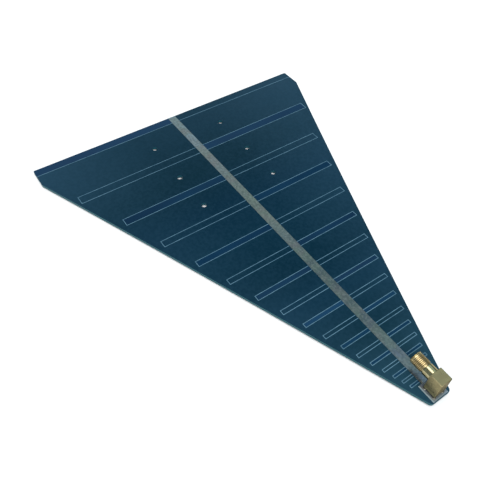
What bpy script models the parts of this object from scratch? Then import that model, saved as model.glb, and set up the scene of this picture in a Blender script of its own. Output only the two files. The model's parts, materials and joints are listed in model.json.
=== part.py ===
"""Log-periodic antenna: two etched copper sheets on a glass-fibre board, fed by a right-angle jack.

The board lies flat, +X runs along the boom from the narrow tip to the wide rear edge and +Z is up.
The origin is under the middle of the board, level with the ends of the connector's legs.
A station is a distance along the boom, measured near the point where the arm pattern would shrink to nothing.
"""

import math

import bmesh
import bpy
from mathutils import Vector

MM = 0.001

# Board outline
TIP_STATION = 9.0 * MM
REAR_STATION = 237.5 * MM
TIP_HALF_WIDTH = 5.6 * MM
REAR_HALF_WIDTH = 90.7 * MM
PARALLEL_LENGTH = 13.4 * MM
SIDE_HOLLOW = 0.72 * MM
BOARD_THICKNESS = 1.6 * MM
TIP_CORNER_RADIUS = 1.8 * MM
TAPER_CORNER_RADIUS = 2.0 * MM
REAR_CORNER_RADIUS = 0.8 * MM

# Mounting holes, one pair in each of the three rear gaps between arms
MOUNTING_STATIONS = (160.2 * MM, 186.6 * MM, 216.3 * MM)
MOUNTING_HALF_SPACING = 23.5 * MM
MOUNTING_RADIUS = 1.6 * MM

# Arm pattern: each row is SHRINK times the row behind it
ARM_ROWS = 17
SHRINK = 0.86
PATTERN_OFFSET = -1.1 * MM
FIRST_SPACING = 202.0 * MM
FIRST_ARM_WIDTH = 4.92 * MM
FIRST_ARM_LENGTH = 76.65 * MM
END_TRIM = 1.05 * MM
LONG_ARM_RATIO = 1.03
REAR_ARM_WIDTH = 5.1 * MM
EDGE_MARGIN = 0.25 * MM

# Etched copper
COPPER_THICKNESS = 0.07 * MM
BOOM_WIDTH = 4.9 * MM
PAD_MARGIN = 0.3 * MM
PAD_END_STATION = 18.3 * MM
PAD_HALF_WIDTH = 4.5 * MM
TONGUE_HALF_WIDTH = 1.0 * MM
LAND_RADIUS = 1.1 * MM
ANTIPAD_RADIUS = 1.3 * MM

# Printed outline round each arm
LINE_WIDTH = 0.3 * MM
LINE_HEIGHT = 0.03 * MM
LINE_OFFSET = 0.3 * MM
LINE_END_GAP = 0.1 * MM
LINE_ROOT = 0.2 * MM

# Connector block
CONNECTOR_STATION = 13.6 * MM
BLOCK_WIDTH = 6.4 * MM
BLOCK_TOP = 11.8 * MM
STAND_OFF = 1.0 * MM
BLOCK_BEVEL = 0.25 * MM
BORE_AXIS_HEIGHT = 8.1 * MM
CAVITY_RADIUS = 2.1 * MM
PIN_BORE_RADIUS = 1.7 * MM
LEG_PITCH = 5.08 * MM
LEG_RADIUS = 0.5 * MM
LEG_STICK_OUT = 0.9 * MM
LEG_HOLE_RADIUS = 0.7 * MM
LEG_ROOT = 0.4 * MM

# Barrel, with a 36 turns to the inch thread
BARREL_LENGTH = 10.6 * MM
NECK_LENGTH = 3.8 * MM
NECK_RADIUS = 3.0 * MM
RELIEF_LENGTH = 0.5 * MM
RELIEF_DEPTH = 0.05 * MM
THREAD_RADIUS = 3.175 * MM
THREAD_DEPTH = 0.4 * MM
THREAD_PITCH = 25.4 * MM / 36
THREAD_CREST = THREAD_PITCH * 0.125
THREAD_FOOT = THREAD_PITCH * 0.86
THREAD_ROOT = 0.05 * MM
SPIGOT_RADIUS = 2.55 * MM
SPIGOT_LENGTH = 1.2 * MM
MATING_DEPTH = 1.93 * MM
MATING_RADIUS = 2.32 * MM
MOUTH_BEVEL = 0.12 * MM

# Contact, pins and plugs
CONTACT_RADIUS = 0.635 * MM
SOCKET_RADIUS = 0.47 * MM
SOCKET_DEPTH = 2.6 * MM
SLOT_WIDTH = 0.2 * MM
SLOT_DEPTH = 2.2 * MM
COLLAR_RADIUS = 0.95 * MM
COLLAR_HALF_LENGTH = 1.1 * MM
FEED_PIN_RADIUS = 0.45 * MM
FEED_PIN_OVERLAP = 0.3 * MM
FEED_HOLE_RADIUS = 0.65 * MM
CAP_RADIUS = 1.9 * MM
CAP_THICKNESS = 0.8 * MM

# Drill bits run past both faces of the board
DRILL_OVERRUN = 0.5 * MM

# Solder
FILLET_HEIGHT = 0.65 * MM
FILLET_FOOT_RADIUS = 1.0 * MM
FILLET_LIP = 0.1 * MM

# Clearances between pieces that touch on the real object
SEAT_GAP = 0.02 * MM
FIT_GAP = 0.03 * MM

BARREL_STEPS = 32
PIN_STEPS = 16
SIDE_STEPS = 12
CORNER_STEPS = 6
FILLET_STEPS = 3
MERGE_DISTANCE = 0.001 * MM
SMOOTH_ANGLE = math.radians(35)

# Heights and places that follow from the sizes above
underside = LEG_STICK_OUT
board_top = underside + BOARD_THICKNESS
middle_station = (TIP_STATION + REAR_STATION) / 2
copper_top = SEAT_GAP + COPPER_THICKNESS
block_bottom = copper_top + STAND_OFF
leg_half_pitch = LEG_PITCH / 2
block_face = BLOCK_WIDTH / 2
barrel_end = block_face + BARREL_LENGTH
mating_plane = barrel_end - MATING_DEPTH
thread_core_radius = THREAD_RADIUS - THREAD_DEPTH
thread_flank = (THREAD_FOOT - THREAD_CREST) / 2 / THREAD_DEPTH
thread_root_foot = THREAD_FOOT + 2 * thread_flank * THREAD_ROOT


def clear_scene():
    for obj in list(bpy.data.objects):
        bpy.data.objects.remove(obj, do_unlink=True)


def new_collection(name):
    collection = bpy.data.collections.new(name)
    bpy.context.scene.collection.children.link(collection)
    return collection


def new_material(name, colour, metallic, roughness):
    material = bpy.data.materials.new(name)
    material.use_nodes = True
    shader = material.node_tree.nodes["Principled BSDF"]
    shader.inputs["Base Color"].default_value = (*colour, 1.0)
    shader.inputs["Metallic"].default_value = metallic
    shader.inputs["Roughness"].default_value = roughness
    return material


def link_mesh(name, mesh, collection, materials=()):
    obj = bpy.data.objects.new(name, mesh)
    collection.objects.link(obj)
    for material in materials:
        mesh.materials.append(material)
    return obj


def as_cutter(obj):
    obj.hide_render = True
    obj.display_type = "WIRE"
    return obj


def boolean(obj, other, operation):
    modifier = obj.modifiers.new(operation.title(), "BOOLEAN")
    modifier.operation = operation
    modifier.solver = "EXACT"
    modifier.object = other
    as_cutter(other)


def evaluated_mesh(obj):
    """The object's mesh with its modifiers or its curve made real, and close points made one."""
    graph = bpy.context.evaluated_depsgraph_get()
    mesh = bpy.data.meshes.new_from_object(obj.evaluated_get(graph))
    shape = bmesh.new()
    shape.from_mesh(mesh)
    bmesh.ops.remove_doubles(shape, verts=shape.verts, dist=MERGE_DISTANCE)
    bmesh.ops.recalc_face_normals(shape, faces=shape.faces)
    shape.to_mesh(mesh)
    shape.free()
    return mesh


def flat_solid(name, loops, bottom, thickness, collection, materials):
    """A plate cut to closed loops of (x, y) points: a loop inside another one is a hole."""
    curve = bpy.data.curves.new(name, "CURVE")
    curve.dimensions = "2D"
    curve.fill_mode = "BOTH"
    curve.extrude = thickness / 2
    for loop in loops:
        spline = curve.splines.new("POLY")
        spline.points.add(len(loop) - 1)
        for point, (x, y) in zip(spline.points, loop):
            point.co = (x, y, 0, 1)
        spline.use_cyclic_u = True
    guide = bpy.data.objects.new(name + "_outline", curve)
    collection.objects.link(guide)
    guide.location.z = bottom + thickness / 2
    bpy.context.view_layer.update()
    mesh = evaluated_mesh(guide)
    mesh.materials.clear()
    mesh.shade_flat()
    plate = link_mesh(name, mesh, collection, materials)
    plate.matrix_world = guide.matrix_world
    bpy.data.objects.remove(guide, do_unlink=True)
    return plate


def turned_solid(name, profile, closed, steps, collection, materials):
    """A profile of (radius, height) points turned about Z, which runs down its outer side."""
    mesh = bpy.data.meshes.new(name)
    points = [(radius, 0, height) for radius, height in profile]
    edges = [(i, i + 1) for i in range(len(points) - 1)]
    if closed:
        edges.append((len(points) - 1, 0))
    mesh.from_pydata(points, edges, [])
    obj = link_mesh(name, mesh, collection)
    screw = obj.modifiers.new("Screw", "SCREW")
    screw.angle = 2 * math.pi
    screw.steps = steps
    screw.render_steps = steps
    screw.use_merge_vertices = True
    screw.merge_threshold = MERGE_DISTANCE
    bpy.context.view_layer.update()
    turned = evaluated_mesh(obj)
    turned.shade_smooth()
    turned.set_sharp_from_angle(angle=SMOOTH_ANGLE)
    obj.modifiers.clear()
    obj.data = turned
    for material in materials:
        turned.materials.append(material)
    return obj


def rod(name, radius, low, high, steps, collection, materials=()):
    """A plain round rod along Z."""
    profile = [(0, high), (radius, high), (radius, low), (0, low)]
    return turned_solid(name, profile, False, steps, collection, materials)


def tube(name, outer, inner, low, high, steps, collection, materials=()):
    """A plain round tube along Z."""
    profile = [(outer, high), (outer, low), (inner, low), (inner, high)]
    return turned_solid(name, profile, True, steps, collection, materials)


def box(name, size, centre, collection):
    mesh = bpy.data.meshes.new(name)
    shape = bmesh.new()
    bmesh.ops.create_cube(shape, size=1)
    bmesh.ops.scale(shape, vec=size, verts=shape.verts)
    shape.to_mesh(mesh)
    shape.free()
    obj = link_mesh(name, mesh, collection)
    obj.location = centre
    return obj


def place(obj, parent, location, along_x=False):
    """Puts a piece in the frame of its parent, with its own Z turned to the parent's X if asked."""
    obj.parent = parent
    obj.location = location
    obj.rotation_euler = (0, math.pi / 2 if along_x else 0, 0)


def circle_points(x, y, radius, count):
    angles = [2 * math.pi * i / count for i in range(count)]
    return [(x + radius * math.cos(a), y + radius * math.sin(a)) for a in angles]


def rounded_corner(before, corner, after, radius):
    """Points of the arc that rounds a corner between two straight edges."""
    corner = Vector(corner)
    to_before = (Vector(before) - corner).normalized()
    to_after = (Vector(after) - corner).normalized()
    half_angle = to_before.angle(to_after) / 2
    centre = corner + (to_before + to_after).normalized() * radius / math.sin(half_angle)
    start = (corner + to_before * radius / math.tan(half_angle) - centre).normalized()
    end = (corner + to_after * radius / math.tan(half_angle) - centre).normalized()
    return [tuple(centre + start.slerp(end, i / CORNER_STEPS) * radius) for i in range(CORNER_STEPS + 1)]


def along(station):
    """World X of a station on the boom."""
    return station - middle_station


def leg_places():
    """Offsets of the four legs from the connector's centre."""
    offsets = (-leg_half_pitch, leg_half_pitch)
    return [(dx, dy) for dx in offsets for dy in offsets]


def arm(row):
    """Centre station, width and half length of the copper of one arm; row 0 is the rear one."""
    scale = SHRINK ** (row - 1)
    if row == 0:
        centre = REAR_STATION - EDGE_MARGIN - REAR_ARM_WIDTH / 2
        return centre, REAR_ARM_WIDTH, REAR_HALF_WIDTH - EDGE_MARGIN
    length = FIRST_ARM_LENGTH * scale - END_TRIM
    if row == 1:
        length *= LONG_ARM_RATIO
    return PATTERN_OFFSET + FIRST_SPACING * scale, FIRST_ARM_WIDTH * scale, length


def hollow_side(start, end):
    """Points between the two ends of a tapering side, which bows in a little half-way."""
    points = []
    for i in range(1, SIDE_STEPS):
        part = i / SIDE_STEPS
        x = start[0] + (end[0] - start[0]) * part
        y = start[1] + (end[1] - start[1]) * part - 4 * SIDE_HOLLOW * part * (1 - part)
        points.append((x, y))
    return points


def board_outline():
    tip = (along(TIP_STATION), TIP_HALF_WIDTH)
    taper_end = (along(REAR_STATION - PARALLEL_LENGTH), REAR_HALF_WIDTH)
    corners = [(*tip, TIP_CORNER_RADIUS)]
    corners += [(x, y, 0) for x, y in hollow_side(tip, taper_end)]
    corners += [(*taper_end, TAPER_CORNER_RADIUS), (along(REAR_STATION), REAR_HALF_WIDTH, REAR_CORNER_RADIUS)]
    corners += [(x, -y, radius) for x, y, radius in reversed(corners)]
    points = []
    for i, (x, y, radius) in enumerate(corners):
        if radius == 0:
            points.append((x, y))
            continue
        before = corners[i - 1][:2]
        after = corners[(i + 1) % len(corners)][:2]
        points += rounded_corner(before, (x, y), after, radius)
    return points


def connector_holes(leg_radius, feed_radius):
    """Loops for the four leg holes and the feed hole under the connector."""
    x = along(CONNECTOR_STATION)
    loops = [circle_points(x, 0, feed_radius, PIN_STEPS)]
    loops += [circle_points(x + dx, dy, leg_radius, PIN_STEPS) for dx, dy in leg_places()]
    return loops


def outline_strokes():
    """Loops of the lines printed round the arms: one bar at the rear arms, a U round the others."""
    start = BOOM_WIDTH / 2 + LINE_END_GAP
    near = LINE_OFFSET - LINE_WIDTH / 2
    far = LINE_OFFSET + LINE_WIDTH / 2
    strokes = []
    for row in range(ARM_ROWS):
        centre, width, length = arm(row)
        low = along(centre - width / 2)
        high = along(centre + width / 2)
        for side in (1, -1):
            if row == 0:
                stroke = [
                    (low - near, start), (low - near, length),
                    (low - far, length), (low - far, start),
                ]
            else:
                stroke = [
                    (low - far, start), (low - far, length + far),
                    (high + far, length + far), (high + far, start),
                    (high + near, start), (high + near, length + near),
                    (low - near, length + near), (low - near, start),
                ]
            strokes.append([(x, side * y) for x, y in stroke])
    return strokes


def drill(plate, name, x, y, radius, steps, cutters):
    bit = rod(name, radius, underside - DRILL_OVERRUN, board_top + DRILL_OVERRUN, steps, cutters)
    bit.location = (x, y, 0)
    boolean(plate, bit, "DIFFERENCE")


def make_laminate(parts, cutters, mask, ink):
    laminate = flat_solid("laminate", [board_outline()], underside, BOARD_THICKNESS, parts, [mask, ink])
    strokes = flat_solid("outline_print", outline_strokes(), board_top - LINE_ROOT, LINE_ROOT + LINE_HEIGHT,
                         cutters, [mask, ink])
    for face in strokes.data.polygons:
        face.material_index = 1
    boolean(laminate, strokes, "UNION")
    for i, station in enumerate(MOUNTING_STATIONS):
        for side, letter in ((1, "a"), (-1, "b")):
            drill(laminate, f"mounting_drill_{i + 1}{letter}", along(station), side * MOUNTING_HALF_SPACING,
                  MOUNTING_RADIUS, BARREL_STEPS, cutters)
    feed = along(CONNECTOR_STATION)
    for i, (dx, dy) in enumerate(leg_places()):
        drill(laminate, f"leg_drill_{i + 1}", feed + dx, dy, LEG_HOLE_RADIUS, PIN_STEPS, cutters)
    drill(laminate, "feed_drill", feed, 0, FEED_HOLE_RADIUS, PIN_STEPS, cutters)


def comb_side(side, rows, tip_points):
    """Points of one long side of a copper sheet, from its tip to its rear end."""
    edge = BOOM_WIDTH / 2
    points = list(tip_points)
    for row in sorted(rows, reverse=True):
        centre, width, length = arm(row)
        low = along(centre - width / 2)
        high = along(centre + width / 2)
        points += [(low, edge), (low, length), (high, length)]
        if row > 0:
            points.append((high, edge))
    if 0 not in rows:
        points.append((along(REAR_STATION - EDGE_MARGIN), edge))
    return [(x, side * y) for x, y in points]


def paint_by_boom(plate, mask_index):
    """Splits the sheet along the boom's edges, so that only the arms carry the mask."""
    shape = bmesh.new()
    shape.from_mesh(plate.data)
    for side in (1, -1):
        geometry = shape.verts[:] + shape.edges[:] + shape.faces[:]
        bmesh.ops.bisect_plane(shape, geom=geometry, dist=MERGE_DISTANCE,
                               plane_co=(0, side * BOOM_WIDTH / 2, 0), plane_no=(0, 1, 0))
    for face in shape.faces:
        middle = face.calc_center_median()
        on_arm = abs(middle.y) > BOOM_WIDTH / 2 + SEAT_GAP and middle.x > along(PAD_END_STATION)
        face.material_index = mask_index if on_arm else 0
    shape.to_mesh(plate.data)
    shape.free()


def make_front_copper(parts, tin, mask):
    pad_start = along(TIP_STATION + PAD_MARGIN)
    pad_end = along(PAD_END_STATION)
    tip = [(pad_start, PAD_HALF_WIDTH), (pad_end, PAD_HALF_WIDTH), (pad_end, BOOM_WIDTH / 2)]
    near = comb_side(1, range(0, ARM_ROWS, 2), tip)
    far = comb_side(-1, range(1, ARM_ROWS, 2), tip)
    loops = [near + far[::-1]] + connector_holes(LEG_HOLE_RADIUS, ANTIPAD_RADIUS)
    sheet = flat_solid("front_copper", loops, board_top + SEAT_GAP, COPPER_THICKNESS, parts, [tin, mask])
    paint_by_boom(sheet, 1)


def make_rear_copper(parts, tin, mask):
    """The other half of the arms, fed by a round-ended tongue that passes between the ground lands."""
    feed = along(CONNECTOR_STATION)
    boom_start = along(PAD_END_STATION)
    count = PIN_STEPS // 4
    angles = [math.pi - math.pi / 2 * i / count for i in range(count + 1)]
    tip = [(feed + TONGUE_HALF_WIDTH * math.cos(a), TONGUE_HALF_WIDTH * math.sin(a)) for a in angles]
    tip += [(boom_start, TONGUE_HALF_WIDTH), (boom_start, BOOM_WIDTH / 2)]
    near = comb_side(1, range(1, ARM_ROWS, 2), tip)
    far = comb_side(-1, range(0, ARM_ROWS, 2), tip)
    loops = [near + far[:0:-1], circle_points(feed, 0, FEED_HOLE_RADIUS, PIN_STEPS)]
    bottom = underside - SEAT_GAP - COPPER_THICKNESS
    sheet = flat_solid("rear_copper", loops, bottom, COPPER_THICKNESS, parts, [tin, mask])
    paint_by_boom(sheet, 1)


def make_block(parts, cutters, seat, cast_brass):
    """Square block on four legs, bored from below, from the front and from behind."""
    height = BLOCK_TOP - block_bottom
    block = box("connector_block", (BLOCK_WIDTH, BLOCK_WIDTH, height), (0, 0, 0), parts)
    block.data.materials.append(cast_brass)
    place(block, seat, (0, 0, block_bottom + height / 2))
    bevel = block.modifiers.new("Bevel", "BEVEL")
    bevel.width = BLOCK_BEVEL
    bevel.segments = 2
    leg_end = -BOARD_THICKNESS - LEG_STICK_OUT
    for i, (dx, dy) in enumerate(leg_places()):
        leg = rod(f"leg_{i + 1}", LEG_RADIUS, leg_end, block_bottom + LEG_ROOT, PIN_STEPS, cutters)
        place(leg, seat, (dx, dy, 0))
        boolean(block, leg, "UNION")
    bore_top = BORE_AXIS_HEIGHT - CAVITY_RADIUS / 2
    pin_bore = rod("pin_bore", PIN_BORE_RADIUS, 0, bore_top, BARREL_STEPS, cutters)
    place(pin_bore, seat, (0, 0, 0))
    overrun = BLOCK_WIDTH
    contact_bore = rod("contact_bore", CAVITY_RADIUS, -CAVITY_RADIUS, overrun, BARREL_STEPS, cutters)
    spigot_bore = rod("spigot_bore", SPIGOT_RADIUS + FIT_GAP, block_face - SPIGOT_LENGTH - FIT_GAP, overrun,
                      BARREL_STEPS, cutters)
    access_bore = rod("access_bore", CAP_RADIUS + FIT_GAP, -overrun, 0, BARREL_STEPS, cutters)
    boolean(block, pin_bore, "DIFFERENCE")
    for cutter in (contact_bore, spigot_bore, access_bore):
        place(cutter, seat, (0, 0, BORE_AXIS_HEIGHT), along_x=True)
        boolean(block, cutter, "DIFFERENCE")


def thread_ridge(name, start, end, collection):
    """A ridge of trapezoid section swept along a helix about Z, half a step off the barrel's facets."""
    crest = THREAD_CREST / 2
    foot = thread_root_foot / 2
    inner = thread_core_radius - THREAD_ROOT
    section = [(inner, -foot), (THREAD_RADIUS, -crest), (THREAD_RADIUS, crest), (inner, foot)]
    turns = (end - start) / THREAD_PITCH
    steps = round(turns * BARREL_STEPS)
    across = math.cos(math.pi / BARREL_STEPS)
    aside = math.sin(math.pi / BARREL_STEPS)
    mesh = bpy.data.meshes.new(name)
    shape = bmesh.new()
    verts = [shape.verts.new((radius * across, radius * aside, start + height)) for radius, height in section]
    face = shape.faces.new(verts)
    bmesh.ops.spin(shape, geom=[face], cent=(0, 0, 0), axis=(0, 0, 1),
                   dvec=(0, 0, THREAD_PITCH / BARREL_STEPS),
                   angle=steps * 2 * math.pi / BARREL_STEPS, steps=steps)
    bmesh.ops.recalc_face_normals(shape, faces=shape.faces)
    shape.to_mesh(mesh)
    shape.free()
    return link_mesh(name, mesh, collection)


def make_barrel(parts, cutters, seat, gold):
    """Turned tube: a spigot in the block, a smooth neck, a relief groove and the threaded end."""
    neck_start = block_face + FIT_GAP
    neck_end = block_face + NECK_LENGTH
    relief_end = neck_end + RELIEF_LENGTH
    profile = [
        (thread_core_radius - MOUTH_BEVEL, barrel_end),
        (thread_core_radius, barrel_end - MOUTH_BEVEL),
        (thread_core_radius, relief_end),
        (thread_core_radius - RELIEF_DEPTH, relief_end - RELIEF_DEPTH),
        (thread_core_radius - RELIEF_DEPTH, neck_end),
        (NECK_RADIUS - MOUTH_BEVEL, neck_end),
        (NECK_RADIUS, neck_end - MOUTH_BEVEL),
        (NECK_RADIUS, neck_start),
        (SPIGOT_RADIUS, neck_start),
        (SPIGOT_RADIUS, block_face - SPIGOT_LENGTH),
        (CAVITY_RADIUS, block_face - SPIGOT_LENGTH),
        (CAVITY_RADIUS, mating_plane),
        (MATING_RADIUS, mating_plane),
        (MATING_RADIUS, barrel_end - MOUTH_BEVEL),
        (MATING_RADIUS + MOUTH_BEVEL, barrel_end),
    ]
    barrel = turned_solid("barrel", profile, True, BARREL_STEPS, parts, [gold])
    place(barrel, seat, (0, 0, BORE_AXIS_HEIGHT), along_x=True)
    first_turn = relief_end + thread_root_foot / 2
    last_turn = barrel_end - MOUTH_BEVEL - thread_root_foot / 2
    ridge = thread_ridge("thread", first_turn, last_turn, cutters)
    place(ridge, seat, (0, 0, BORE_AXIS_HEIGHT), along_x=True)
    boolean(barrel, ridge, "UNION")


def make_insulators(parts, seat, white_plastic):
    start = COLLAR_HALF_LENGTH + FIT_GAP
    bore = CONTACT_RADIUS + FIT_GAP
    barrel_insulator = tube("barrel_insulator", CAVITY_RADIUS - FIT_GAP, bore, start, mating_plane,
                            BARREL_STEPS, parts, [white_plastic])
    place(barrel_insulator, seat, (0, 0, BORE_AXIS_HEIGHT), along_x=True)
    top = BORE_AXIS_HEIGHT - CAVITY_RADIUS - FIT_GAP
    pin_insulator = tube("pin_insulator", PIN_BORE_RADIUS - FIT_GAP, FEED_PIN_RADIUS + FIT_GAP,
                         block_bottom, top, BARREL_STEPS, parts, [white_plastic])
    place(pin_insulator, seat, (0, 0, 0))


def make_contact(parts, cutters, seat, gold):
    """Slotted socket with a cross-drilled collar that takes the top of the feed pin."""
    floor = mating_plane - SOCKET_DEPTH
    profile = [
        (0, floor), (SOCKET_RADIUS, floor), (SOCKET_RADIUS, mating_plane), (CONTACT_RADIUS, mating_plane),
        (CONTACT_RADIUS, COLLAR_HALF_LENGTH), (COLLAR_RADIUS, COLLAR_HALF_LENGTH),
        (COLLAR_RADIUS, -COLLAR_HALF_LENGTH), (0, -COLLAR_HALF_LENGTH),
    ]
    contact = turned_solid("centre_contact", profile, False, PIN_STEPS, parts, [gold])
    place(contact, seat, (0, 0, BORE_AXIS_HEIGHT), along_x=True)
    cross_hole = rod("cross_hole", FEED_PIN_RADIUS + FIT_GAP, -2 * COLLAR_RADIUS,
                     FEED_PIN_OVERLAP + FIT_GAP, PIN_STEPS, cutters)
    place(cross_hole, seat, (0, 0, BORE_AXIS_HEIGHT))
    boolean(contact, cross_hole, "DIFFERENCE")
    across = 4 * CONTACT_RADIUS
    for name, size in (("level_slot", (2 * SLOT_DEPTH, across, SLOT_WIDTH)),
                       ("upright_slot", (2 * SLOT_DEPTH, SLOT_WIDTH, across))):
        slot = box(name, size, (0, 0, 0), cutters)
        place(slot, seat, (mating_plane, 0, BORE_AXIS_HEIGHT))
        boolean(contact, slot, "DIFFERENCE")


def make_pin_and_cap(parts, seat, gold, cast_brass):
    pin_bottom = -BOARD_THICKNESS - LEG_STICK_OUT
    pin_top = BORE_AXIS_HEIGHT + FEED_PIN_OVERLAP
    pin = rod("feed_pin", FEED_PIN_RADIUS, pin_bottom, pin_top, PIN_STEPS, parts, [gold])
    place(pin, seat, (0, 0, 0))
    cap_face = -block_face + CAP_THICKNESS
    cap = rod("access_cap", CAP_RADIUS, -block_face, cap_face, BARREL_STEPS, parts, [cast_brass])
    place(cap, seat, (0, 0, BORE_AXIS_HEIGHT), along_x=True)


def fillet(inner, foot_height, direction):
    """Points of a hollow solder slope, from its lip on the leg out to its foot on the copper."""
    reach = FILLET_FOOT_RADIUS - inner - FILLET_LIP
    angles = [math.pi / 2 * i / FILLET_STEPS for i in range(FILLET_STEPS + 1)]
    rise = direction * FILLET_HEIGHT
    return [
        (FILLET_FOOT_RADIUS - reach * math.cos(a), foot_height + rise * (1 - math.sin(a)))
        for a in angles
    ]


def solder_joint(name, pin_radius, hole_radius, on_front, collection, seat, spot, solder):
    """Solder that fills the hole round a leg and climbs it below the board, and above it if asked."""
    inner = pin_radius + FIT_GAP
    outer = hole_radius - FIT_GAP
    front = copper_top + SEAT_GAP
    back = -BOARD_THICKNESS - copper_top - SEAT_GAP
    if on_front:
        profile = [(inner, front + FILLET_HEIGHT)] + fillet(inner, front, 1) + [(outer, front)]
    else:
        profile = [(inner, 0), (outer, 0)]
    profile += [(outer, back)] + fillet(inner, back, -1)[::-1] + [(inner, back - FILLET_HEIGHT)]
    joint = turned_solid(name, profile, True, PIN_STEPS, collection, [solder])
    place(joint, seat, (*spot, 0))


def make_solder(parts, seat, solder):
    for i, spot in enumerate(leg_places()):
        name = f"ground_solder_{i + 1}"
        solder_joint(name, LEG_RADIUS, LEG_HOLE_RADIUS, True, parts, seat, spot, solder)
    solder_joint("feed_solder", FEED_PIN_RADIUS, FEED_HOLE_RADIUS, False, parts, seat, (0, 0), solder)


def make_lands(parts, seat, tin):
    top = -BOARD_THICKNESS - SEAT_GAP
    for i, (dx, dy) in enumerate(leg_places()):
        land = tube(f"ground_land_{i + 1}", LAND_RADIUS, LEG_HOLE_RADIUS, top - COPPER_THICKNESS, top,
                    PIN_STEPS, parts, [tin])
        place(land, seat, (dx, dy, 0))


def main():
    clear_scene()
    parts = new_collection("log_periodic_antenna")
    cutters = new_collection("cutters")

    mask = new_material("board_mask", (0.014, 0.042, 0.074), 0.0, 0.45)
    ink = new_material("outline_ink", (0.13, 0.22, 0.29), 0.0, 0.6)
    arm_mask = new_material("arm_mask", (0.012, 0.03, 0.11), 0.0, 0.4)
    tin = new_material("tinned_copper", (0.24, 0.235, 0.21), 0.85, 0.45)
    cast_brass = new_material("cast_brass", (0.24, 0.21, 0.095), 0.9, 0.5)
    gold = new_material("gold_plate", (0.6, 0.43, 0.12), 1.0, 0.25)
    white_plastic = new_material("white_plastic", (0.8, 0.8, 0.77), 0.0, 0.4)
    solder = new_material("solder", (0.5, 0.5, 0.49), 1.0, 0.3)

    seat = bpy.data.objects.new("connector_seat", None)
    parts.objects.link(seat)
    seat.location = (along(CONNECTOR_STATION), 0, board_top)

    make_laminate(parts, cutters, mask, ink)
    make_front_copper(parts, tin, arm_mask)
    make_rear_copper(parts, tin, arm_mask)
    make_lands(parts, seat, tin)
    make_block(parts, cutters, seat, cast_brass)
    make_barrel(parts, cutters, seat, gold)
    make_insulators(parts, seat, white_plastic)
    make_contact(parts, cutters, seat, gold)
    make_pin_and_cap(parts, seat, gold, cast_brass)
    make_solder(parts, seat, solder)


main()
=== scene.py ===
# Looks of the log-periodic antenna board: camera, studio, finishes and the finer pieces of its jack.
# All lengths are in metres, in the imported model's own frame.

import json
import math

import bpy
from mathutils import Matrix, Vector

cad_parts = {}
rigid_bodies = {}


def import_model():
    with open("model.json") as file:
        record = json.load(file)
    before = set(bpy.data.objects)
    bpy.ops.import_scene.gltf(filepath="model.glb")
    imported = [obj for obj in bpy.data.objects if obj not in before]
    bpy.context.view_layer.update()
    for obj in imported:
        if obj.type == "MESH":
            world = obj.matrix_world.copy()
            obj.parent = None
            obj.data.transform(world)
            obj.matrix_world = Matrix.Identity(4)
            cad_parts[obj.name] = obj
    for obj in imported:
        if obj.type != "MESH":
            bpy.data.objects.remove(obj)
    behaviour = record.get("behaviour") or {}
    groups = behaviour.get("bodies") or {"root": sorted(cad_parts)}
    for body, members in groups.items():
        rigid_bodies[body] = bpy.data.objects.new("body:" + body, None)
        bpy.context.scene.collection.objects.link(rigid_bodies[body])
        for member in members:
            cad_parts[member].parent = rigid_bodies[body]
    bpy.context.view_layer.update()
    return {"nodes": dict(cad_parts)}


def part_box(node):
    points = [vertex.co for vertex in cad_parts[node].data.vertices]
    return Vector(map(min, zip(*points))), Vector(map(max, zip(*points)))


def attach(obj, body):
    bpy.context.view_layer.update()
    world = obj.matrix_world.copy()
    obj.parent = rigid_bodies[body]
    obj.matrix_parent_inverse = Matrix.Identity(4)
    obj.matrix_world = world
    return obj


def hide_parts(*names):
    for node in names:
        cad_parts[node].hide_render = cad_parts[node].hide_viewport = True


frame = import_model()
cadNodes = frame["nodes"]
print("frame loaded:", len(cadNodes), "nodes")


cameraSetup = {
    "place": (-0.143595, 0.124354, 0.21689),
    "right": (-0.57297, -0.81933, 0.01999),
    "up": (0.64301, -0.43428, 0.63082),
    "lens": 38.88,
    "sensor": 36.0,
    "clipStart": 0.005,
    "clipEnd": 20,
}

studio = {
    "floorHalf": 4.0,
    "floorHeight": -0.0002,
    "floorColour": (0.82, 0.82, 0.82),
    "floorRoughness": 0.9,
    "floorSpecular": 0.1,
    "skyColour": (0.8, 1.0, 1.1),
    "skyStrength": 0.25,
    # a wide soft sun from beyond the narrow tip, on the camera's side
    "keyStrength": 3.5,
    "keyFrom": (-0.5, 0.2, 0.8),
    "keySpread": 50,
    "softboxes": (
        # the first one makes the streak on the jack's neck, the second one lights the wide end
        {"name": "topBox", "place": (0.08, 0.085, 1.0), "aim": (-0.1, 0.0, 0.0), "size": 0.45,
         "power": 1.9, "tint": (1.0, 1.0, 1.0)},
        {"name": "farBox", "place": (0.7, -0.225, 0.39), "aim": (0.1, 0.0, 0.0), "size": 0.7,
         "power": 0.6, "tint": (1.0, 1.0, 1.0)},
        # the third one shows in the top of the block and in the narrow half of the boom
        {"name": "sideBox", "place": (0.22, -0.46, 0.83), "aim": (-0.06, 0.0, 0.0), "size": 0.72,
         "power": 0.7, "tint": (0.7, 1.0, 1.05)},
    ),
}


def setCamera(setup):
    lens = bpy.data.cameras.new("photoCamera")
    lens.lens = setup["lens"]
    lens.sensor_width = setup["sensor"]
    lens.clip_start = setup["clipStart"]
    lens.clip_end = setup["clipEnd"]
    camera = bpy.data.objects.new("photoCamera", lens)
    bpy.context.scene.collection.objects.link(camera)
    right = Vector(setup["right"]).normalized()
    up = Vector(setup["up"])
    up = (up - right * up.dot(right)).normalized()
    back = right.cross(up)
    turn = Matrix((right, up, back)).transposed()
    camera.matrix_world = Matrix.Translation(setup["place"]) @ turn.to_4x4()
    bpy.context.scene.camera = camera


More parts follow.
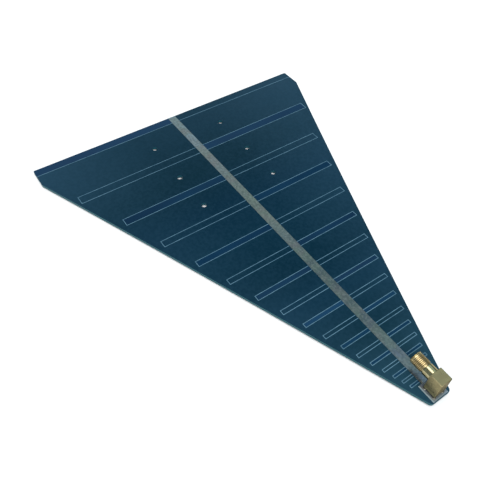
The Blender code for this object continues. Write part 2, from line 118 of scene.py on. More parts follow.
def addLamp(lampName, lampData, place, target):
    lamp = bpy.data.objects.new(lampName, lampData)
    bpy.context.scene.collection.objects.link(lamp)
    lamp.location = place
    lamp.rotation_euler = (Vector(target) - Vector(place)).to_track_quat("-Z", "Y").to_euler()


def setStudio(setup):
    scene = bpy.context.scene
    scene.view_settings.view_transform = "Standard"
    bpy.ops.mesh.primitive_plane_add(size=2 * setup["floorHalf"], location=(0, 0, setup["floorHeight"]))
    floor = bpy.context.object
    floor.name = "paperFloor"
    paper = bpy.data.materials.new("whitePaper")
    paper.use_nodes = True
    shader = paper.node_tree.nodes["Principled BSDF"]
    shader.inputs["Base Color"].default_value = (*setup["floorColour"], 1)
    shader.inputs["Roughness"].default_value = setup["floorRoughness"]
    shader.inputs["Specular IOR Level"].default_value = setup["floorSpecular"]
    floor.data.materials.append(paper)

    world = bpy.data.worlds.new("studioSky")
    world.use_nodes = True
    sky = world.node_tree.nodes["Background"]
    sky.inputs["Color"].default_value = (*setup["skyColour"], 1)
    sky.inputs["Strength"].default_value = setup["skyStrength"]
    scene.world = world

    key = bpy.data.lights.new("keyLight", "SUN")
    key.energy = setup["keyStrength"]
    key.angle = math.radians(setup["keySpread"])
    addLamp("keyLight", key, setup["keyFrom"], (0, 0, 0))

    for box in setup["softboxes"]:
        soft = bpy.data.lights.new(box["name"], "AREA")
        soft.energy = box["power"]
        soft.size = box["size"]
        soft.color = box["tint"]
        addLamp(box["name"], soft, box["place"], box["aim"])


setCamera(cameraSetup)
setStudio(studio)
print("camera and studio set")


def fromHex(text):
    # sRGB hex to the linear colour that the shader wants
    values = [int(text[i:i + 2], 16) / 255 for i in (0, 2, 4)]
    linear = [v / 12.92 if v <= 0.04045 else ((v + 0.055) / 1.055) ** 2.4 for v in values]
    return (*linear, 1)


class Finish:
    # a Principled material with short calls for the nodes that feed it

    def __init__(self, name, metallic=0.0, roughness=0.5, specular=0.5):
        self.material = bpy.data.materials.new(name)
        self.material.use_nodes = True
        self.tree = self.material.node_tree
        self.shader = self.tree.nodes["Principled BSDF"]
        self.shader.inputs["Metallic"].default_value = metallic
        self.shader.inputs["Roughness"].default_value = roughness
        self.shader.inputs["Specular IOR Level"].default_value = specular
        self.where = self.node("ShaderNodeTexCoord").outputs["Object"]
        self.axes = None
        self.normals = None

    def node(self, kind, **settings):
        made = self.tree.nodes.new(kind)
        for key, value in settings.items():
            setattr(made, key, value)
        return made

    def feed(self, socket, value):
        # the value is another node's output, a hex colour or a number
        if isinstance(value, bpy.types.NodeSocket):
            self.tree.links.new(value, socket)
        elif isinstance(value, str):
            socket.default_value = fromHex(value)
        else:
            socket.default_value = value

    def split(self, vector):
        made = self.node("ShaderNodeSeparateXYZ")
        self.feed(made.inputs[0], vector)
        return made

    def axis(self, letter):
        if self.axes is None:
            self.axes = self.split(self.where)
        return self.axes.outputs[letter]

    def facing(self, letter):
        # one part of the direction that the surface faces, from -1 to 1
        if self.normals is None:
            self.normals = self.split(self.node("ShaderNodeNewGeometry").outputs["Normal"])
        return self.normals.outputs[letter]

    def maths(self, operation, first, second=0.0, third=0.0):
        made = self.node("ShaderNodeMath", operation=operation)
        self.feed(made.inputs[0], first)
        self.feed(made.inputs[1], second)
        self.feed(made.inputs[2], third)
        return made.outputs[0]

    def times(self, first, second):
        return self.maths("MULTIPLY", first, second)

    def highest(self, first, second):
        return self.maths("MAXIMUM", first, second)

    def above(self, value, limit):
        return self.maths("GREATER_THAN", value, limit)

    def below(self, value, limit):
        return self.maths("LESS_THAN", value, limit)

    def within(self, value, limit):
        return self.below(self.maths("ABSOLUTE", value), limit)

    def noise(self, scale, detail):
        made = self.node("ShaderNodeTexNoise")
        self.feed(made.inputs["Vector"], self.where)
        made.inputs["Scale"].default_value = scale
        made.inputs["Detail"].default_value = detail
        return made.outputs["Fac"]

    def ramp(self, value, low, high, toLow=0.0, toHigh=1.0):
        made = self.node("ShaderNodeMapRange")
        self.feed(made.inputs["Value"], value)
        self.feed(made.inputs["From Min"], low)
        self.feed(made.inputs["From Max"], high)
        self.feed(made.inputs["To Min"], toLow)
        self.feed(made.inputs["To Max"], toHigh)
        return made.outputs["Result"]

    def speckle(self, scale, detail, *levels):
        # noise, with the levels that a ramp takes
        return self.ramp(self.noise(scale, detail), *levels)

    def blend(self, amount, first, second):
        made = self.node("ShaderNodeMix", data_type="RGBA")
        self.feed(made.inputs["Factor"], amount)
        self.feed(made.inputs["A"], first)
        self.feed(made.inputs["B"], second)
        return made.outputs["Result"]

    def stops(self, value, table):
        # a ramp through (position from 0 to 1, colour)
        made = self.node("ShaderNodeValToRGB")
        elements = made.color_ramp.elements
        elements[0].color = fromHex(table[0][1])
        elements[1].color = fromHex(table[-1][1])
        for place, text in table[1:-1]:
            elements.new(place).color = fromHex(text)
        self.feed(made.inputs["Fac"], value)
        return made.outputs["Color"]

    def wave(self, pitch, direction):
        # bands that repeat each pitch metres
        made = self.node("ShaderNodeTexWave", bands_direction=direction)
        self.feed(made.inputs["Vector"], self.where)
        made.inputs["Scale"].default_value = math.pi / 10 / pitch
        return made.outputs["Fac"]

    def bump(self, height, distance, strength):
        # a second bump is laid over the first
        made = self.node("ShaderNodeBump")
        made.inputs["Strength"].default_value = strength
        made.inputs["Distance"].default_value = distance
        self.feed(made.inputs["Height"], height)
        if self.shader.inputs["Normal"].is_linked:
            self.feed(made.inputs["Normal"], self.shader.inputs["Normal"].links[0].from_socket)
        self.feed(self.shader.inputs["Normal"], made.outputs["Normal"])

    def noiseBump(self, scale, detail, distance, strength):
        self.bump(self.noise(scale, detail), distance, strength)

    def colour(self, value):
        self.feed(self.shader.inputs["Base Color"], value)

    def plainColour(self):
        # what feeds the colour so far
        return self.shader.inputs["Base Color"].links[0].from_socket

    def rough(self, value):
        self.feed(self.shader.inputs["Roughness"], value)

    def metal(self, value):
        self.feed(self.shader.inputs["Metallic"], value)

    def grazing(self, text):
        # the colour of the shine at a flat angle
        self.feed(self.shader.inputs["Specular Tint"], text)


def dress(nodeName, finish):
    target = cadNodes[nodeName]
    if not target.material_slots:
        target.data.materials.append(finish.material)
    for slot in target.material_slots:
        slot.material = finish.material


# modelling helpers

def deselectAll():
    if bpy.context.object and bpy.context.object.mode != "OBJECT":
        bpy.ops.object.mode_set(mode="OBJECT")
    bpy.ops.object.select_all(action="DESELECT")


def startPiece(name, place):
    # a plane merged to one vertex, left in edit mode to be drawn on from there
    deselectAll()
    bpy.ops.mesh.primitive_plane_add(size=0.001, location=place)
    piece = bpy.context.object
    piece.name = name
    bpy.ops.object.mode_set(mode="EDIT")
    bpy.ops.mesh.merge(type="CENTER")
    return piece


def drawOn(points):
    # the selected vertex is extruded from point to point
    for start, end in zip(points, points[1:]):
        step = [b - a for a, b in zip(start, end)]
        bpy.ops.mesh.extrude_vertices_move(TRANSFORM_OT_translate={"value": step})


def toOrigin(piece):
    bpy.ops.object.mode_set(mode="OBJECT")
    piece.select_set(True)
    bpy.context.view_layer.objects.active = piece
    bpy.ops.object.transform_apply(location=True, rotation=True, scale=True)


def tidyMesh(piece, mergeWithin=1e-6):
    bpy.context.view_layer.objects.active = piece
    bpy.ops.object.mode_set(mode="EDIT")
    bpy.ops.mesh.select_all(action="SELECT")
    bpy.ops.mesh.remove_doubles(threshold=mergeWithin)
    bpy.ops.mesh.normals_make_consistent(inside=False)
    bpy.ops.object.mode_set(mode="OBJECT")


def turnPiece(name, outline, centre, axis, steps):
    # outline is (distance along the axis, radius), and centre is a point on the axis
    centre = Vector(centre)
    axis = Vector(axis)
    out = Vector((0, 0, 1)) if abs(axis.z) < 0.5 else Vector((1, 0, 0))
    points = [centre + axis * along + out * radius for along, radius in outline]
    piece = startPiece(name, points[0])
    drawOn(points)
    bpy.ops.mesh.select_all(action="SELECT")
    bpy.ops.mesh.spin(steps=steps, angle=2 * math.pi, center=centre, axis=axis)
    toOrigin(piece)
    tidyMesh(piece)
    return piece


def closeEnd(piece, middle, sign):
    # the open edge on one side of the middle is drawn in to a point
    bpy.ops.object.mode_set(mode="EDIT")
    bpy.ops.mesh.select_mode(type="EDGE")
    bpy.ops.mesh.select_all(action="DESELECT")
    bpy.ops.mesh.select_non_manifold()
    bpy.ops.object.mode_set(mode="OBJECT")
    for edge in piece.data.edges:
        along = sum(piece.data.vertices[i].co.x for i in edge.vertices) / 2
        if edge.select and (along - middle) * sign < 0:
            edge.select = False
    bpy.ops.object.mode_set(mode="EDIT")
    bpy.ops.mesh.extrude_edges_move(TRANSFORM_OT_translate={"value": (0, 0, 0)})
    bpy.ops.mesh.merge(type="CENTER")
    bpy.ops.mesh.select_mode(type="VERT")
    bpy.ops.object.mode_set(mode="OBJECT")


def combine(piece, other, operation):
    cut = piece.modifiers.new(operation.title(), "BOOLEAN")
    cut.operation = operation
    cut.solver = "EXACT"
    cut.object = other
    bpy.context.view_layer.objects.active = piece
    bpy.ops.object.modifier_apply(modifier=cut.name)
    bpy.data.objects.remove(other, do_unlink=True)


def smoothRound(piece, degrees):
    deselectAll()
    piece.select_set(True)
    bpy.context.view_layer.objects.active = piece
    bpy.ops.object.shade_smooth_by_angle(angle=math.radians(degrees))


def finishPiece(piece, finish, nodes):
    piece.data.materials.clear()
    piece.data.materials.append(finish.material)
    for face in piece.data.polygons:
        face.material_index = 0
    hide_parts(*nodes)
    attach(piece, "root")


# In the tables of the finishes, a speckle is noise scale, noise detail, the two noise levels that its ramp
# runs between and the values there (0 and 1 if left out). A fade is the same without the noise, and a bump
# is noise scale and detail, depth and strength.

# the board: blue mask, printed outlines, cut sides and the walls of its holes

board = {
    "roughness": 0.42,
    "specular": 0.1,
    "glint": "c4f8ff",
    "topHeight": 0.0025,
    "topMargin": 0.000001,
    "inkAbove": 0.002515,
    # the mask's tone from the narrow tip to the wide edge, lightened towards the wide edge as painted sheen
    "rampStart": -0.1,
    "rampEnd": 0.11,
    "mask": (
        (0.0, "193745"), (0.13, "082634"), (0.25, "082739"), (0.35, "001f2f"), (0.5, "012233"),
        (0.62, "002032"), (0.76, "001f2d"), (1.0, "092838"),
    ),
    # the pale tone of the mask, laid on at random as clouds and grain, and as painted sheen
    "maskPale": "244256",
    # painted sheen: fades across the board, towards each slanting edge, and how they change along it
    "taper": 0.396,
    "taperStart": -0.1284,
    "farSheen": (-0.2, -0.9, 0.0, 0.37),
    "farSheenAlong": (-0.03, 0.05, 0.5, 1.0),
    "nearSheen": (0.3, 0.95, 0.0, 0.16),
    "nearSheenAlong": (0.05, 0.11, 1.0, 3.0),
    "clouds": (14, 2, 0.35, 0.65, 0.0, 0.05),
    "grain": (650, 2, 0.38, 0.62, -0.03, 0.09),
    "ink": "5c7e91",
    "inkWorn": "496a7d",
    "inkPatches": (260, 3, 0.35, 0.65),
    # a face that looks less up or down than this is a cut side
    "sideFacing": 0.5,
    "edge": "35666e",
    "edgeDark": "254c54",
    "layerPitch": 0.00022,
    # painted shade on the hole walls; the screw holes lie in this stretch along the boom, and this near it
    "holeWallShade": "1b4c5a",
    "holesAside": 0.03,
    "holesFrom": 0.02,
    "holesTo": 0.11,
    "roughSpeckle": (60, 4, 0.3, 0.7, 0.38, 0.5),
    "weavePitch": 0.00045,
    "weaveDepth": 0.000004,
    "weaveStrength": 0.5,
    "ripples": (420, 2, 0.00002, 0.4),
}


def makeBoardFinish(look):
    finish = Finish("boardMask", roughness=look["roughness"], specular=look["specular"])
    station = finish.axis("X")
    # the mask's tone along the board; its lightening towards the wide edge is painted sheen
    mask = finish.stops(finish.ramp(station, look["rampStart"], look["rampEnd"]), look["mask"])
    # across, 0 is the boom and 1 the slanting edge
    width = finish.times(finish.maths("SUBTRACT", station, look["taperStart"]), look["taper"])
    across = finish.maths("DIVIDE", finish.axis("Y"), width)
    # painted sheen, paling the mask towards each slanting edge
    farSheen = finish.times(finish.ramp(across, *look["farSheen"]), finish.ramp(station, *look["farSheenAlong"]))
    nearSheen = finish.times(finish.ramp(across, *look["nearSheen"]), finish.ramp(station, *look["nearSheenAlong"]))
    speckles = finish.maths("ADD", finish.speckle(*look["clouds"]), finish.speckle(*look["grain"]))
    sheenAndMottle = finish.maths("ADD", finish.maths("ADD", farSheen, nearSheen), speckles)
    # the painted sheen and the random clouds and grain pale the mask together
    mask = finish.blend(sheenAndMottle, mask, look["maskPale"])
    inkTone = finish.blend(finish.speckle(*look["inkPatches"]), look["ink"], look["inkWorn"])
    painted = finish.blend(finish.above(finish.axis("Z"), look["inkAbove"]), mask, inkTone)

    layers = finish.blend(finish.wave(look["layerPitch"], "Z"), look["edgeDark"], look["edge"])
    aside = finish.within(finish.axis("Y"), look["holesAside"])
    along = finish.times(finish.above(station, look["holesFrom"]), finish.below(station, look["holesTo"]))
    # painted shade: the walls of the screw holes take a darker tone than the other cut sides
    layers = finish.blend(finish.times(aside, along), layers, look["holeWallShade"])
    side = finish.within(finish.facing("Z"), look["sideFacing"])
    underTop = finish.below(finish.axis("Z"), look["topHeight"] - look["topMargin"])
    finish.colour(finish.blend(finish.times(side, underTop), painted, layers))

    finish.rough(finish.speckle(*look["roughSpeckle"]))
    weave = finish.times(finish.wave(look["weavePitch"], "X"), finish.wave(look["weavePitch"], "Y"))
    finish.bump(weave, look["weaveDepth"], look["weaveStrength"])
    finish.noiseBump(*look["ripples"])
    finish.grazing(look["glint"])
    return finish


boardFinish = makeBoardFinish(board)
dress("laminate", boardFinish)


# the copper: bare tinned boom and pad, and arms under the mask

copper = {
    "roughness": 0.42,
    "specular": 0.06,
    "boomHalf": 0.00247,
    "padEnd": -0.10497,
    "padStart": -0.11395,
    "padHalf": 0.0045,
    "rimWidth": 0.0006,
    # the boom's tone from the tip to the wide edge, with a small painted highlight past the middle
    # and a lighter, bluer painted reflection towards the wide edge
    "tin": (
        (0.0, "868e9e"), (0.12, "6b737b"), (0.24, "5a656b"), (0.38, "626b70"), (0.45, "6f7a7b"),
        (0.52, "757f7d"), (0.57, "6a7574"), (0.65, "788683"), (0.8, "8f9fa4"), (1.0, "96b2bf"),
    ),
    # green, pink, dull and bright speckles on the tin
    "tinSpeckles": (
        ("849280", (120, 2, 0.42, 0.6, 0.0, 0.4)),
        ("8a8486", (190, 2, 0.5, 0.65, 0.0, 0.4)),
        ("5d6462", (700, 2, 0.4, 0.6, 0.0, 0.4)),
        ("a3a6a0", (850, 2, 0.48, 0.64, 0.0, 0.3)),
    ),
    "rim": "b0c1c9",
    "tipRim": 0.4,
    # the arms' tone from the tip to the wide edge, lightened towards the wide edge as painted sheen
    "arms": (
        (0.0, "0a2d44"), (0.15, "082b43"), (0.21, "143753"), (0.29, "0f273d"), (0.5, "03243c"),
        (0.65, "022137"), (0.8, "0e2940"), (1.0, "163049"),
    ),
    "armLight": "123c59",
    "armClouds": (25, 3, 0.35, 0.65, 0.0, 0.3),
    "boomRough": (200, 4, 0.3, 0.7, 0.22, 0.34),
    "dullRough": (200, 4, 0.3, 0.7, 0.42, 0.55),
    "dents": (700, 3, 0.00001, 0.5),
}


def makeCopperFinish(look):
    finish = Finish("etchedCopper", roughness=look["roughness"], specular=look["specular"])
    onBoom = finish.within(finish.axis("Y"), look["boomHalf"])
    onPad = finish.below(finish.axis("X"), look["padEnd"])
    bare = finish.highest(onBoom, onPad)
    station = finish.ramp(finish.axis("X"), board["rampStart"], board["rampEnd"])
    # the tin's tone along the board, with its painted highlight and reflection
    tin = finish.stops(station, look["tin"])
    for tone, speckle in look["tinSpeckles"]:
        tin = finish.blend(finish.speckle(*speckle), tin, tone)
    # the pad's bright rim, fainter on the side of the tip
    nearEdge = finish.above(finish.axis("Y"), look["padHalf"] - look["rimWidth"])
    tipEdge = finish.below(finish.axis("X"), look["padStart"] + look["rimWidth"])
    rim = finish.times(onPad, finish.highest(nearEdge, finish.times(tipEdge, look["tipRim"])))
    tin = finish.blend(rim, tin, look["rim"])
    # the arms' tone along the board, with its painted sheen
    arm = finish.stops(station, look["arms"])
    arm = finish.blend(finish.speckle(*look["armClouds"]), arm, look["armLight"])
    finish.colour(finish.blend(bare, arm, tin))
    finish.metal(bare)
    # the boom is smoother than the pad and the arms
    pastPad = finish.times(onBoom, finish.maths("SUBTRACT", 1.0, onPad))
    dullRough = finish.speckle(*look["dullRough"])
    boomRough = finish.speckle(*look["boomRough"])
    finish.rough(finish.ramp(pastPad, 0.0, 1.0, dullRough, boomRough))
    finish.noiseBump(*look["dents"])
    return finish


copperFinish = makeCopperFinish(copper)
for name in ("front_copper", "rear_copper", "ground_land_1", "ground_land_2", "ground_land_3",
             "ground_land_4"):
    dress(name, copperFinish)
print("board and copper finished")


# finishes of the jack

plated = {
    "detail": 3,
    "patches": (0.35, 0.65),
    # the roughness's own speckle is finer than the grain, and runs between two shares of its level
    "roughFiner": 2,
    "roughLevels": (0.3, 0.7),
    "smoothShare": 0.8,
    "roughShare": 1.25,
    "dentDetail": 2,
    "dentDepth": 0.000004,
    "dentStrength": 0.4,
}

castLook = {
    "bright": "9f946f",
    "dark": "928867",
    "metallic": 0.75,
    "roughness": 0.31,
    "grain": 400,
    "grazing": "a89c78",
    # the darker tone, laid on as painted shade
    "darkTone": "6b6248",
    # painted shade: fades over how much a face looks along X and along Y
    "tipShade": (-0.3, -0.7, 0.0, 0.85),
    "sideShade": (0.5, 0.9, 0.0, 0.05),
    # the eased edges look up by about this much
    "edgeFacing": 0.65,
    "edgeWithin": 0.3,
    "edgeShade": 0.8,
}

goldLook = {
    "bright": "d0c79e",
    "dark": "bbac81",
    # warmer than the neck, and darker as painted shade of the thread's roots
    "warmAndShaded": "a5926a",
    "metallic": 1.0,
    "roughness": 0.16,
    "threadRoughness": 0.4,
    "grain": 400,
    "fineGrain": (1000, 3, 0.3, 0.7, 0.85, 1.15),
    "grazing": "c4c2b4",
    # the darker tone, for the groove's painted shade and the neck's darker +Y side
    "darkTone": "6b6248",
    # where the thread's warm, darker tone starts, and where a painted highlight takes over towards the open
    # end
    "threadFrom": -0.1026,
    "threadFade": 0.0004,
    "endHighlightFrom": -0.0977,
    "endHighlightFade": 0.0008,
    "warmShadeLeftAtEnd": 0.3,
    # the neck's side that looks along Y is darker
    "neckSideDarkening": (0.85, 0.96, 0.0, 0.6),
    # painted shade in the relief groove
    "grooveAt": -0.1024,
    "grooveHalf": 0.0006,
    "grooveShade": 0.4,
}

solderLook = {
    # darker than bare solder, as painted shade for joints in the block's shade
    "bright": "8b887d",
    "dark": "6f6c62",
    "metallic": 1.0,
    "roughness": 0.4,
    "grain": 900,
}

plasticLook = {
    "bright": "e8e8e2",
    "dark": "d8d8cf",
    "roughness": 0.4,
    "patches": (900, 3, 0.35, 0.65),
    "roughSpeckle": (1500, 3, 0.3, 0.7, 0.34, 0.48),
    "dents": (4000, 2, 0.000003, 0.5),
}


def makePlated(name, look):
    level = look["roughness"]
    grain = look["grain"]
    detail = plated["detail"]
    finish = Finish(name, metallic=look["metallic"], roughness=level)
    patches = finish.speckle(grain, detail, *plated["patches"])
    finish.colour(finish.blend(patches, look["bright"], look["dark"]))
    finish.rough(finish.speckle(grain * plated["roughFiner"], detail, *plated["roughLevels"],
                                level * plated["smoothShare"], level * plated["roughShare"]))
    finish.noiseBump(grain, plated["dentDetail"], plated["dentDepth"], plated["dentStrength"])
    return finish


def makeCast(look):
    # painted shade: darkest on the face towards the narrow tip and on the eased edges, a little towards +Y
    finish = makePlated("castBrass", look)
    tip = finish.ramp(finish.facing("X"), *look["tipShade"])
    side = finish.ramp(finish.facing("Y"), *look["sideShade"])
    eased = finish.maths("COMPARE", finish.facing("Z"), look["edgeFacing"], look["edgeWithin"])
    eased = finish.times(eased, look["edgeShade"])
    paintedShade = finish.highest(finish.highest(tip, side), eased)
    finish.colour(finish.blend(paintedShade, finish.plainColour(), look["darkTone"]))
    finish.grazing(look["grazing"])
    return finish


def makeGold(look):
    # the neck is bright but for its +Y side and its painted-shade groove; the thread is duller and warmer
    finish = makePlated("goldPlate", look)
    station = finish.axis("X")
    thread = finish.ramp(station, look["threadFrom"], look["threadFrom"] + look["threadFade"])
    # painted highlight: towards the open end less of the warm, darker tone is laid on
    awayFromEndHighlight = finish.ramp(station, look["endHighlightFrom"], look["endHighlightFrom"] + look["endHighlightFade"], 1.0, look["warmShadeLeftAtEnd"])
    # the warm tone's darkening is painted shade of the thread's roots
    tone = finish.blend(finish.times(thread, awayFromEndHighlight), finish.plainColour(), look["warmAndShaded"])
    side = finish.ramp(finish.facing("Y"), *look["neckSideDarkening"])
    side = finish.times(side, finish.maths("SUBTRACT", 1.0, thread))
    # painted shade in the relief groove
    groove = finish.maths("COMPARE", station, look["grooveAt"], look["grooveHalf"])
    groove = finish.times(groove, look["grooveShade"])
    finish.colour(finish.blend(finish.highest(side, groove), tone, look["darkTone"]))
    level = finish.ramp(thread, 0, 1, look["roughness"], look["threadRoughness"])
    finish.rough(finish.times(level, finish.speckle(*look["fineGrain"])))
    finish.grazing(look["grazing"])
    return finish


def makePlastic(look):
    finish = Finish("whitePlastic", roughness=look["roughness"])
    finish.colour(finish.blend(finish.speckle(*look["patches"]), look["bright"], look["dark"]))
    finish.rough(finish.speckle(*look["roughSpeckle"]))
    finish.noiseBump(*look["dents"])
    return finish


castFinish = makeCast(castLook)
goldFinish = makeGold(goldLook)
solderFinish = makePlated("shadedSolder", solderLook)
plasticFinish = makePlastic(plasticLook)

dress("pin_insulator", plasticFinish)
print("jack finishes made")


# the barrel: smooth neck, relief groove and a fine helical thread

barrel = {
    "neckLength": 0.0038,
    "neckRadius": 0.003,
    "reliefLength": 0.0005,
    "reliefRadius": 0.002725,
    "coreRadius": 0.002775,
    "threadRadius": 0.003175,
    "threadPitch": 0.0254 / 36,
    "crestPart": 0.125,
    "rootPart": 0.14,
    "threadSteps": 96,
    # turns beyond the ends, which are cut off again
    "spareTurns": 4,
    # the cutter that rounds the thread's ends
    "cutAbove": 0.00002,
    "cutBelow": 0.0001,
    "cutSlope": 0.7,
    # how far the groove's core runs into the thread
    "overlap": 0.0002,
    # a ring this many bevels before the neck's end keeps the long cylinder's shading straight
    "ringBefore": 1.5,
    "neckSteps": 90,
    "endSteps": 94,
    "spigotRadius": 0.00255,
    "spigotLength": 0.0012,
    "boreRadius": 0.0021,
    "socketRadius": 0.00232,
    "socketDepth": 0.00193,
    "boreOvershoot": 0.001,
    "mouthBevel": 0.00012,
    # wide enough to roll the light over the crests of the thread
    "smoothWithin": 62,
}


def makeThread(sizes, start, end, centre):
    # one pitch of the thread's outline, drawn once and turned along the axis
    pitch = sizes["threadPitch"]
    crest = pitch * sizes["crestPart"]
    root = pitch * sizes["rootPart"]
    flank = (pitch - crest - root) / 2
    shape = [(0, sizes["coreRadius"]), (root, sizes["coreRadius"]), (root + flank, sizes["threadRadius"]),
             (root + flank + crest, sizes["threadRadius"]), (pitch, sizes["coreRadius"])]
    first = end + pitch  # the turns run back from here towards the block
    turns = math.ceil((end - start) / pitch) + sizes["spareTurns"]
    points = [(first + along, centre[1], centre[2] + radius) for along, radius in shape]
    rod = startPiece("threadRod", points[0])
    drawOn(points)
    bpy.ops.mesh.select_all(action="SELECT")
    bpy.ops.mesh.screw(steps=sizes["threadSteps"], turns=turns, center=centre, axis=(1, 0, 0))
    toOrigin(rod)
    tidyMesh(rod)
    closeEnd(rod, (start + end) / 2, 1)
    closeEnd(rod, (start + end) / 2, -1)
    tidyMesh(rod)
    return rod


def makeBarrel(sizes):
    low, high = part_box("barrel")
    centre = (0, (low[1] + high[1]) / 2, (low[2] + high[2]) / 2)
    end = high[0]
    face = low[0] + sizes["spigotLength"]
    neckEnd = face + sizes["neckLength"]
    threadStart = neckEnd + sizes["reliefLength"]
    bevel = sizes["mouthBevel"]
    rod = makeThread(sizes, threadStart, end, centre)
    reach = sizes["threadRadius"] + sizes["cutAbove"]
    tip = sizes["coreRadius"] - sizes["cutBelow"]
    chamfer = (reach - tip) * sizes["cutSlope"]
    rounding = turnPiece("threadEnds", [
        (threadStart, 0), (threadStart, tip), (threadStart + chamfer, reach),
        (end - chamfer, reach), (end, tip), (end, 0),
    ], centre, (1, 0, 0), sizes["endSteps"])
    combine(rod, rounding, "INTERSECT")
    ring = neckEnd - sizes["ringBefore"] * bevel
    lap = threadStart + sizes["overlap"]
    body = turnPiece("threadedBarrel", [
        (low[0], 0), (low[0], sizes["spigotRadius"]), (face, sizes["spigotRadius"]),
        (face, sizes["neckRadius"]), (ring, sizes["neckRadius"]), (neckEnd - bevel, sizes["neckRadius"]),
        (neckEnd, sizes["neckRadius"] - bevel), (neckEnd, sizes["reliefRadius"]),
        (lap, sizes["reliefRadius"]), (lap, 0),
    ], centre, (1, 0, 0), sizes["neckSteps"])
    combine(body, rod, "UNION")
    before = low[0] - sizes["boreOvershoot"]
    step = end - sizes["socketDepth"]
    bore = turnPiece("bore", [
        (before, 0), (before, sizes["boreRadius"]), (step, sizes["boreRadius"]),
        (step, sizes["socketRadius"]), (end - bevel, sizes["socketRadius"]),
        (end + bevel, sizes["socketRadius"] + 2 * bevel), (end + bevel, 0),
    ], centre, (1, 0, 0), sizes["neckSteps"])
    combine(body, bore, "DIFFERENCE")
    smoothRound(body, sizes["smoothWithin"])
    finishPiece(body, goldFinish, ["barrel"])
    return body


threadedBarrel = makeBarrel(barrel)
print("barrel modelled:", len(threadedBarrel.data.polygons), "faces")


# the block: a copy of the frame's own shape, with its flat faces merged and its round legs shaded round

block = {
    "flatWithin": 1,
    "smoothWithin": 20,
}


def makeBlock(sizes):
    deselectAll()
    source = cadNodes["connector_block"]
    piece = source.copy()
    piece.data = source.data.copy()
    piece.name = "jackBlock"
    bpy.context.scene.collection.objects.link(piece)
    piece.select_set(True)
    bpy.context.view_layer.objects.active = piece
    bpy.ops.object.parent_clear(type="CLEAR_KEEP_TRANSFORM")
    tidyMesh(piece)
    bpy.ops.object.mode_set(mode="EDIT")
    bpy.ops.mesh.select_all(action="SELECT")
    bpy.ops.mesh.dissolve_limited(angle_limit=math.radians(sizes["flatWithin"]))
    bpy.ops.object.mode_set(mode="OBJECT")
    smoothRound(piece, sizes["smoothWithin"])
    finishPiece(piece, castFinish, ["connector_block"])


makeBlock(block)


# the white insulator, the slotted socket, the pin and the plug at the back of the block

inner = {
    "contactRadius": 0.000635,
    "contactGap": 0.00003,
    "chamfer": 0.00008,
    "socketRadius": 0.00047,
    "socketDepth": 0.0026,
    "collarLength": 0.0022,
    "slotWidth": 0.0002,
    "slotDepth": 0.0022,
    "roundSteps": 64,
    "pinSteps": 32,
    "smoothWithin": 32,
}


def alongX(node):
    # start, end, radius and centre line of a round node that lies along X
    low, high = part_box(node)
    return low[0], high[0], (high[2] - low[2]) / 2, (0, (low[1] + high[1]) / 2, (low[2] + high[2]) / 2)


def makeInsulator(sizes):
    start, end, radius, centre = alongX("barrel_insulator")
    bore = sizes["contactRadius"] + sizes["contactGap"]
    bevel = sizes["chamfer"]
    piece = turnPiece("barrelInsulator", [
        (start, bore), (start, radius), (end - bevel, radius), (end, radius - bevel), (end, bore + bevel),
        (end - bevel, bore), (start, bore),
    ], centre, (1, 0, 0), sizes["roundSteps"])
    smoothRound(piece, sizes["smoothWithin"])
    finishPiece(piece, plasticFinish, ["barrel_insulator"])


def makeSocket(sizes):
    start, end, radius, centre = alongX("centre_contact")
    bevel = sizes["chamfer"]
    collar = start + sizes["collarLength"]
    contact = sizes["contactRadius"]
    floor = end - sizes["socketDepth"]
    piece = turnPiece("springSocket", [
        (start, 0), (start, radius - bevel), (start + bevel, radius), (collar - bevel, radius),
        (collar, radius - bevel), (collar, contact), (end - bevel, contact), (end, contact - bevel),
        (end, sizes["socketRadius"] + bevel / 2), (end - bevel, sizes["socketRadius"]),
        (floor, sizes["socketRadius"]), (floor - sizes["socketRadius"] / 2, 0),
    ], centre, (1, 0, 0), sizes["roundSteps"])
    # two crossed slots, each cut by a box centred on the end
    for size in ((sizes["slotDepth"] * 2, contact * 4, sizes["slotWidth"]),
                 (sizes["slotDepth"] * 2, sizes["slotWidth"], contact * 4)):
        deselectAll()
        bpy.ops.mesh.primitive_cube_add(size=1, location=(end, centre[1], centre[2]), scale=size)
        combine(piece, bpy.context.object, "DIFFERENCE")
    smoothRound(piece, sizes["smoothWithin"])
    finishPiece(piece, goldFinish, ["centre_contact"])


def makeCap(sizes):
    start, end, radius, centre = alongX("access_cap")
    bevel = sizes["chamfer"]
    piece = turnPiece("accessCap", [
        (start, 0), (start, radius - bevel), (start + bevel, radius), (end, radius), (end, 0),
    ], centre, (1, 0, 0), sizes["roundSteps"])
    smoothRound(piece, sizes["smoothWithin"])
    finishPiece(piece, castFinish, ["access_cap"])


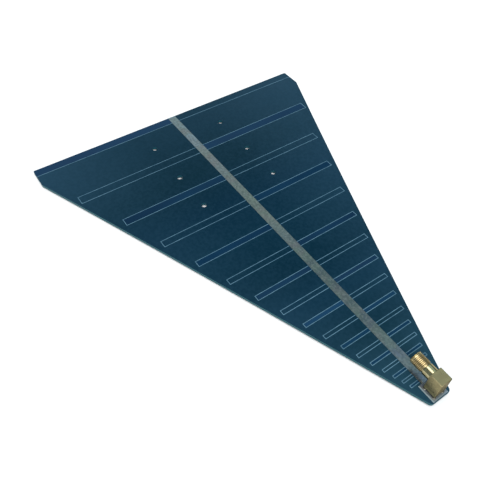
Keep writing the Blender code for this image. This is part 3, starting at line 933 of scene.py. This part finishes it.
def makePin(sizes):
    low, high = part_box("feed_pin")
    centre = ((low[0] + high[0]) / 2, (low[1] + high[1]) / 2, 0)
    radius = (high[0] - low[0]) / 2
    bevel = sizes["chamfer"]
    piece = turnPiece("feedPin", [
        (low[2], 0), (low[2], radius - bevel), (low[2] + bevel, radius), (high[2], radius), (high[2], 0),
    ], centre, (0, 0, 1), sizes["pinSteps"])
    smoothRound(piece, sizes["smoothWithin"])
    finishPiece(piece, goldFinish, ["feed_pin"])


makeInsulator(inner)
makeSocket(inner)
makeCap(inner)
makePin(inner)
print("insulator, socket, cap and pin modelled")


# the solder joints: one slope below the board, and one above it at the ground legs

solder = {
    "height": 0.00065,
    "lip": 0.0001,
    "footRadius": 0.001,
    "gap": 0.00003,
    "legRadius": 0.0005,
    "legHole": 0.0007,
    "pinRadius": 0.00045,
    "pinHole": 0.00065,
    "boardTop": 0.0025,
    "frontFoot": 0.00261,
    "backFoot": 0.00079,
    "slopeSteps": 10,
    "roundSteps": 40,
    "smoothWithin": 40,
}


def solderSlope(sizes, inside, foot, direction):
    # from the lip on the leg out to the foot on the copper
    reach = sizes["footRadius"] - inside - sizes["lip"]
    points = []
    for i in range(sizes["slopeSteps"] + 1):
        turn = math.pi / 2 * i / sizes["slopeSteps"]
        height = foot + direction * sizes["height"] * (1 - math.sin(turn))
        points.append((height, sizes["footRadius"] - reach * math.cos(turn)))
    return points


def makeJoint(sizes, node, pinRadius, holeRadius, onFront):
    low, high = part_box(node)
    centre = ((low[0] + high[0]) / 2, (low[1] + high[1]) / 2, 0)
    inside = pinRadius + sizes["gap"]
    outside = holeRadius - sizes["gap"]
    top = sizes["frontFoot"]
    back = sizes["backFoot"]
    if onFront:
        outline = [(top + sizes["height"], inside)] + solderSlope(sizes, inside, top, 1) + [(top, outside)]
    else:
        outline = [(sizes["boardTop"], inside), (sizes["boardTop"], outside)]
    outline += [(back, outside)] + solderSlope(sizes, inside, back, -1)[::-1]
    outline += [(back - sizes["height"], inside), outline[0]]
    piece = turnPiece("solderAt_" + node, outline, centre, (0, 0, 1), sizes["roundSteps"])
    smoothRound(piece, sizes["smoothWithin"])
    finishPiece(piece, solderFinish, [node])


for i in range(1, 5):
    makeJoint(solder, f"ground_solder_{i}", solder["legRadius"], solder["legHole"], True)
makeJoint(solder, "feed_solder", solder["pinRadius"], solder["pinHole"], False)
print("solder joints modelled")
